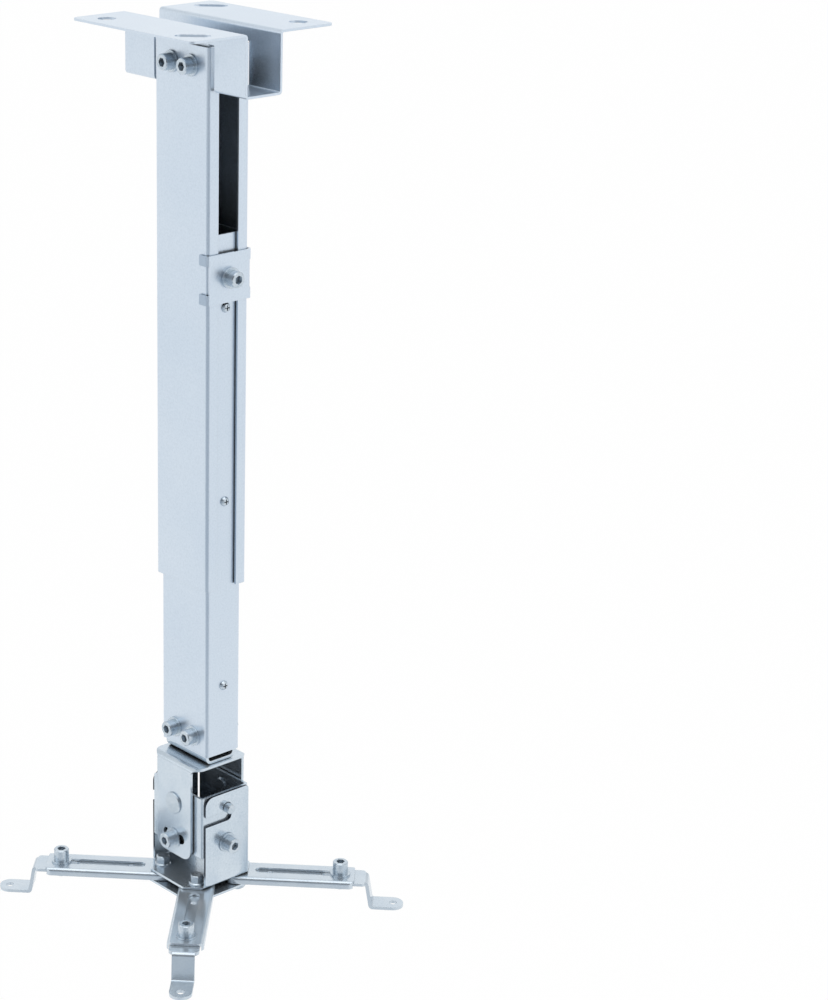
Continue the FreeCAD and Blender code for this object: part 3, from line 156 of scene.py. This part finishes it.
def metal(name, grain_mm, grain_tones, cloud_mm, cloud_tones, rough, bump_mm, metallic, seam_open,
          seam_shade, edge_mm=0.25, painted_shade_mask=None, painted_shade_colour=None):
    """Metal finish from a fine grain and a broad cloud, with rounded edges that carry a painted highlight.
    bump_mm is the height of the grain and edge_mm the rounding of the cut edges. The seam values set
    how dark the painted shade in narrow gaps and joints gets.
    The last two arguments mark where the metal also takes painted shade, and give its dark colour."""
    material = bpy.data.materials.new(name)
    material.use_nodes = True
    tree = material.node_tree
    tree.nodes.clear()
    place = add(tree, "ShaderNodeTexCoord").outputs["Object"]
    grain = add(tree, "ShaderNodeTexNoise", {"Scale": across(grain_mm), "Detail": 3.0, "Roughness": 0.65},
                {"Vector": place}).outputs["Fac"]
    cloud = add(tree, "ShaderNodeTexNoise", {"Scale": across(cloud_mm), "Detail": 2.0},
                {"Vector": place}).outputs["Fac"]
    grain_colour = tones(add(tree, "ShaderNodeValToRGB", links={"Fac": grain}), grain_tones)
    cloud_colour = tones(add(tree, "ShaderNodeValToRGB", links={"Fac": cloud}), cloud_tones)
    body = add(tree, "ShaderNodeMix", {0: 1.0}, {6: grain_colour, 7: cloud_colour},
               data_type="RGBA", blend_type="MULTIPLY").outputs[2]
    rounded = add(tree, "ShaderNodeBevel", {"Radius": edge_mm * MM}, samples=4).outputs["Normal"]
    flat = add(tree, "ShaderNodeNewGeometry").outputs["Normal"]
    along = add(tree, "ShaderNodeVectorMath", links={0: rounded, 1: flat}, operation="DOT_PRODUCT")
    # Painted highlight: the colour turns pale where the rounded normal leaves the flat one
    edge = add(tree, "ShaderNodeMapRange", {"From Min": 0.99, "From Max": 0.85, "To Max": 0.7},
               {"Value": along.outputs["Value"]}).outputs["Result"]
    painted_light_colour = add(tree, "ShaderNodeMix", {7: linear(PAINTED_EDGE_HIGHLIGHT)}, {0: edge, 6: body},
                 data_type="RGBA").outputs[2]
    # Painted shade where the given mask is 1, in the given dark colour
    if painted_shade_mask:
        painted_light_colour = add(tree, "ShaderNodeMix", {7: linear(painted_shade_colour)}, {0: painted_shade_mask(tree, place), 6: painted_light_colour},
                     data_type="RGBA", blend_type="MULTIPLY").outputs[2]
    # The colour is multiplied by the painted shade of hollows, gaps and joints
    shaded = add(tree, "ShaderNodeVectorMath", {}, {0: painted_light_colour, "Scale": painted_hollow_shade(tree, seam_open, seam_shade)},
                 operation="SCALE").outputs["Vector"]
    rough = add(tree, "ShaderNodeMapRange", {"From Min": 0.3, "From Max": 0.7, "To Min": rough[0],
                                             "To Max": rough[1]}, {"Value": grain}).outputs["Result"]
    raised = add(tree, "ShaderNodeBump", {"Strength": 0.6, "Distance": bump_mm * MM},
                 {"Height": grain, "Normal": rounded}).outputs["Normal"]
    shader = add(tree, "ShaderNodeBsdfPrincipled", {"Metallic": metallic},
                 {"Base Color": shaded, "Roughness": rough, "Normal": raised})
    add(tree, "ShaderNodeOutputMaterial", links={"Surface": shader.outputs["BSDF"]})
    return material


# Tones of the grain and of the broad clouds, as places on a noise and the colours there
COAT_GRAIN = [(0.3, "#D2DEEA"), (0.5, "#D8E4F0"), (0.7, "#DDE8F3")]
COAT_CLOUDS = [(0.3, "#F8FAFC"), (0.7, "#FFFFFF")]
ZINC_GRAIN = [(0.3, "#CFDBE6"), (0.5, "#D6E2EC"), (0.7, "#DCE7F0")]
ZINC_CLOUDS = [(0.3, "#F2F5F8"), (0.7, "#FFFFFF")]
BARREL_GRAIN = [(0.3, "#D4DFE9"), (0.5, "#D8E3EC"), (0.7, "#DCE6EE")]
BARREL_CLOUDS = [(0.3, "#F4F7FA"), (0.7, "#FFFFFF")]
FASTENER_GRAIN = [(0.3, "#C4D1DB"), (0.5, "#D0DBE4"), (0.7, "#DAE4EC")]
FASTENER_CLOUDS = [(0.3, "#ECF0F4"), (0.7, "#FFFFFF")]

# Satin silver powder coat on folded sheet: pale, a soft sheen, a fine sparkle of flakes. The real
# flake is about 0.1 mm; it is drawn 1.2 mm across, the finest that the render shows.
satin_silver_coat = metal(
    "satin_silver_powder_coat", 1.2, COAT_GRAIN, 80, COAT_CLOUDS, rough=(0.28, 0.34), bump_mm=0.0015,
    metallic=0.85, seam_open=0.42, seam_shade=0.08)

# The same coat on the clamp plate, with painted shade darkening the tabs that are bent round the outer tube
tab_shaded_silver_coat = metal(
    "silver_powder_coat_with_tab_shade", 1.2, COAT_GRAIN, 80, COAT_CLOUDS, rough=(0.28, 0.34), bump_mm=0.0015,
    metallic=0.85, seam_open=0.42, seam_shade=0.08, painted_shade_mask=clamp_tab_shade_mask, painted_shade_colour="#D0D7DE")

# Bright zinc plate on sheet steel: bluish, glossier than the coat, with the faint clouds of the bath
zinc_plated_sheet = metal(
    "bright_zinc_plated_sheet", 1.5, ZINC_GRAIN, 18, ZINC_CLOUDS, rough=(0.17, 0.23), bump_mm=0.001,
    metallic=0.75, seam_open=0.55, seam_shade=0.05)

# The same plate on the cradle, whose ears and hook slots are sheared; their cut edges are painted dark as
# painted shade
edge_shaded_zinc_sheet = metal(
    "zinc_plated_sheet_with_edge_shade", 1.5, ZINC_GRAIN, 18, ZINC_CLOUDS, rough=(0.17, 0.23), bump_mm=0.001,
    metallic=0.75, seam_open=0.55, seam_shade=0.05, painted_shade_mask=ear_edge_shade_mask, painted_shade_colour="#3E4650")

# The arms and strips are plated in a barrel, which leaves a paler, more even zinc; their slots take only
# light painted shade
barrel_zinc_plated_sheet = metal(
    "barrel_zinc_plated_sheet", 1.5, BARREL_GRAIN, 18, BARREL_CLOUDS, rough=(0.18, 0.22), bump_mm=0.0006,
    metallic=0.62, seam_open=0.42, seam_shade=0.5)

# Bright zinc on turned and rolled fasteners: the shiniest metal here, with sharp highlights
bright_zinc_fasteners = metal(
    "bright_zinc_plated_fasteners", 1.2, FASTENER_GRAIN, 6, FASTENER_CLOUDS, rough=(0.19, 0.26),
    bump_mm=0.0015, metallic=0.78, seam_open=0.42, seam_shade=0.35, edge_mm=0.2)

COATED = ["ceiling_bracket", "outer_tube", "inner_tube"]
PLATED = ["swivel_adapter", "tilt_frame", "gimbal_box", "base_plate"]
ARMS = ["front", "right", "back", "left"]


def finish_nodes():
    """Gives every node of the frame its real finish."""
    for name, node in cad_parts.items():
        finish = bright_zinc_fasteners
        if name in COATED:
            finish = satin_silver_coat
        if name == "clamp_plate":
            finish = tab_shaded_silver_coat
        if name == "cradle":
            finish = edge_shaded_zinc_sheet
        if name in PLATED:
            finish = zinc_plated_sheet
        if name.endswith(("_arm", "_strip")):
            finish = barrel_zinc_plated_sheet
        node.data.materials.clear()
        node.data.materials.append(finish)


# Threads on the ends of the bolts

THREAD_SIDES = 28
THREAD_DEEP = 0.28
M6_RADIUS = 3
M6_PITCH = 1
M8_RADIUS = 4
M8_PITCH = 1.25
BOLT_ASIDE = 9.1
PIVOT_ASIDE = 17.5


def helix(bm, start, along, length, radius, pitch):
    """One thread: a ridge that winds round a shank and runs out at both ends."""
    axis = Vector(along)
    side = axis.orthogonal().normalized()
    other = axis.cross(side)
    steps = int(length / pitch * THREAD_SIDES)
    before = None
    for step in range(steps + 1):
        turn = 2 * math.pi * step / THREAD_SIDES
        out = side * math.cos(turn) + other * math.sin(turn)
        middle = Vector(start) + axis * (pitch * 0.3 + (length - pitch * 0.6) * step / steps)
        run_out = min(1.0, step / 7, (steps - step) / 7)
        crest = radius + THREAD_DEEP * run_out - 0.02
        section = [(radius - 0.1, -0.42), (crest, -0.08), (crest, 0.08), (radius - 0.1, 0.42)]
        ring = [bm.verts.new((middle + out * reach + axis * (pitch * rise)) * MM)
                for reach, rise in section]
        if before:
            for k in range(4):
                bm.faces.new((before[k], before[(k + 1) % 4], ring[(k + 1) % 4], ring[k]))
        else:
            bm.faces.new(ring)
        before = ring
    bm.faces.new(reversed(before))


def thread(name, body, starts, along, length, radius, pitch):
    """Threads of one set of bolts, from the given starting points along one direction."""
    bm = bmesh.new()
    for start in starts:
        helix(bm, start, along, length, radius, pitch)
    bmesh.ops.recalc_face_normals(bm, faces=bm.faces)
    mesh = bpy.data.meshes.new(name)
    bm.to_mesh(mesh)
    bm.free()
    mesh.materials.append(bright_zinc_fasteners)
    piece = bpy.data.objects.new(name, mesh)
    bpy.context.scene.collection.objects.link(piece)
    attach(piece, body)


def ends_of(node, axis):
    """Lowest and highest place of a node along one axis, in millimetres."""
    low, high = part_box(node)
    return low[axis] / MM, high[axis] / MM


def middle_of(node):
    """Middle of a node's box, in millimetres."""
    low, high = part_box(node)
    return (low + high) / 2 / MM


def thread_bolts():
    """Threads wherever a bolt stands out of its nut."""
    for bolts, nuts, body, name in (
            ("column_top_bolts", "column_top_nuts", "ceiling", "column_top_threads"),
            ("adapter_bolts", "adapter_nuts", "column", "adapter_threads")):
        start = ends_of(nuts, 1)[1]
        level = middle_of(nuts).z
        length = ends_of(bolts, 1)[1] - start
        thread(name, body, [(x, start, level) for x in (-BOLT_ASIDE, BOLT_ASIDE)], (0, 1, 0), length,
               M6_RADIUS, M6_PITCH)
    start = ends_of("arm_pivot_nuts", 2)[0]
    length = start - ends_of("arm_pivot_bolts", 2)[0]
    aside = (-PIVOT_ASIDE, PIVOT_ASIDE)
    thread("arm_pivot_threads", "tray", [(x, y, start) for x in aside for y in aside], (0, 0, -1), length,
           M6_RADIUS, M6_PITCH)
    start = ends_of("swivel_nut", 2)[0]
    length = start - ends_of("swivel_bolt", 2)[0]
    thread("swivel_thread", "swivel", [(0, 0, start)], (0, 0, -1), length, M8_RADIUS, M8_PITCH)
    for word in ARMS:
        nut = word + "_arm_clamp_nut"
        start = ends_of(nut, 2)[0]
        place = middle_of(nut)
        length = start - ends_of(word + "_arm_clamp_screw", 2)[0]
        thread(word + "_arm_clamp_thread", word + "_arm", [(place.x, place.y, start)], (0, 0, -1), length,
               M6_RADIUS, M6_PITCH)


# Studio

FLOOR_DOWN = -1.9
FLOOR_HALF = 40.0
FLOOR_OWN_WHITE = 0.96
AIM = Vector((0, 0, -0.3))


def seen_directly(tree):
    """1 for rays of the camera, of mirrors and of glass, 0 for light that falls on the object."""
    rays = add(tree, "ShaderNodeLightPath")
    first = add(tree, "ShaderNodeMath",
                links={0: rays.outputs["Is Camera Ray"], 1: rays.outputs["Is Glossy Ray"]},
                operation="MAXIMUM")
    both = add(tree, "ShaderNodeMath", links={0: first.outputs[0], 1: rays.outputs["Is Transmission Ray"]},
               operation="MAXIMUM")
    return both.outputs[0]


def make_floor():
    """Plain white floor well below the hanging mount. It is lit and takes the shadow, and most of
    its white is its own, so that it stays even."""
    material = bpy.data.materials.new("plain_white_floor")
    material.use_nodes = True
    tree = material.node_tree
    tree.nodes.clear()
    seen = seen_directly(tree)
    share = add(tree, "ShaderNodeMath", {1: FLOOR_OWN_WHITE}, {0: seen}, operation="MULTIPLY").outputs[0]
    paint = add(tree, "ShaderNodeBsdfDiffuse", {"Color": linear("#FAFAFB")})
    glow = add(tree, "ShaderNodeEmission", {"Strength": 1.01})
    mixed = add(tree, "ShaderNodeMixShader", links={0: share, 1: paint.outputs[0], 2: glow.outputs[0]})
    add(tree, "ShaderNodeOutputMaterial", links={"Surface": mixed.outputs[0]})
    half = FLOOR_HALF
    mesh = bpy.data.meshes.new("floor")
    mesh.from_pydata([(-half, -half, FLOOR_DOWN), (half, -half, FLOOR_DOWN), (half, half, FLOOR_DOWN),
                      (-half, half, FLOOR_DOWN)], [], [(0, 1, 2, 3)])
    mesh.materials.append(material)
    floor = bpy.data.objects.new("floor", mesh)
    bpy.context.scene.collection.objects.link(floor)


def make_world():
    """Even white studio: white where it is seen or mirrored, softer where it only lights."""
    world = bpy.data.worlds.new("white_studio")
    bpy.context.scene.world = world
    world.use_nodes = True
    tree = world.node_tree
    tree.nodes.clear()
    strength = add(tree, "ShaderNodeMapRange", {"To Min": 0.85, "To Max": 1.0},
                   {"Value": seen_directly(tree)})
    sky = add(tree, "ShaderNodeBackground", links={"Strength": strength.outputs["Result"]})
    add(tree, "ShaderNodeOutputWorld", links={"Surface": sky.outputs[0]})


def face_the_mount(thing, place):
    """Puts a lamp or card at a place in metres, turned to the mount."""
    place = Vector(place)
    turn = (AIM - place).to_track_quat("-Z", "Y")
    thing.matrix_world = Matrix.Translation(place) @ turn.to_matrix().to_4x4()
    bpy.context.scene.collection.objects.link(thing)


def softbox(name, place, wide, tall, glow):
    """Rectangular lamp; glow is its brightness, where 1 is the white of the studio."""
    data = bpy.data.lights.new(name, "AREA")
    data.shape = "RECTANGLE"
    data.size = wide
    data.size_y = tall
    data.energy = glow * math.pi * wide * tall
    face_the_mount(bpy.data.objects.new(name, data), place)


def card(name, colour, place, wide, tall, glow=1.0):
    """Card that only mirrors see; it draws the lines on folds, corners and round heads."""
    material = bpy.data.materials.new(name)
    material.use_nodes = True
    tree = material.node_tree
    tree.nodes.clear()
    tone = add(tree, "ShaderNodeEmission", {"Color": linear(colour), "Strength": glow})
    add(tree, "ShaderNodeOutputMaterial", links={"Surface": tone.outputs[0]})
    mesh = bpy.data.meshes.new(name)
    mesh.from_pydata([(-wide / 2, -tall / 2, 0), (wide / 2, -tall / 2, 0), (wide / 2, tall / 2, 0),
                      (-wide / 2, tall / 2, 0)], [], [(0, 1, 2, 3)])
    mesh.materials.append(material)
    sheet = bpy.data.objects.new(name, mesh)
    sheet.visible_camera = False
    sheet.visible_diffuse = False
    sheet.visible_shadow = False
    face_the_mount(sheet, place)


def make_studio():
    """Lamps stay soft and weak, as the white room does most of the lighting."""
    make_floor()
    make_world()
    softbox("left_softbox", (-1.1, -2.0, 0.7), 1.6, 1.8, 0.5)
    softbox("right_softbox", (2.2, 0.9, 0.5), 1.4, 1.6, 0.5)
    softbox("back_softbox", (-1.9, 1.5, 0.5), 2.0, 1.6, 0.25)
    card("low_grey_card", "#B6BFC8", (1.0, -1.2, -0.85), 4.2, 1.0)
    card("rear_dark_card", "#3C444E", (1.7, -1.4, 0.6), 2.6, 1.9)
    card("overhead_white_card", "#FFFFFF", (0.2, -0.3, 1.9), 2.4, 2.4, 1.7)


make_camera()
finish_nodes()
thread_bolts()
make_studio()

bpy.context.scene.view_settings.view_transform = "Standard"
bpy.context.view_layer.update()
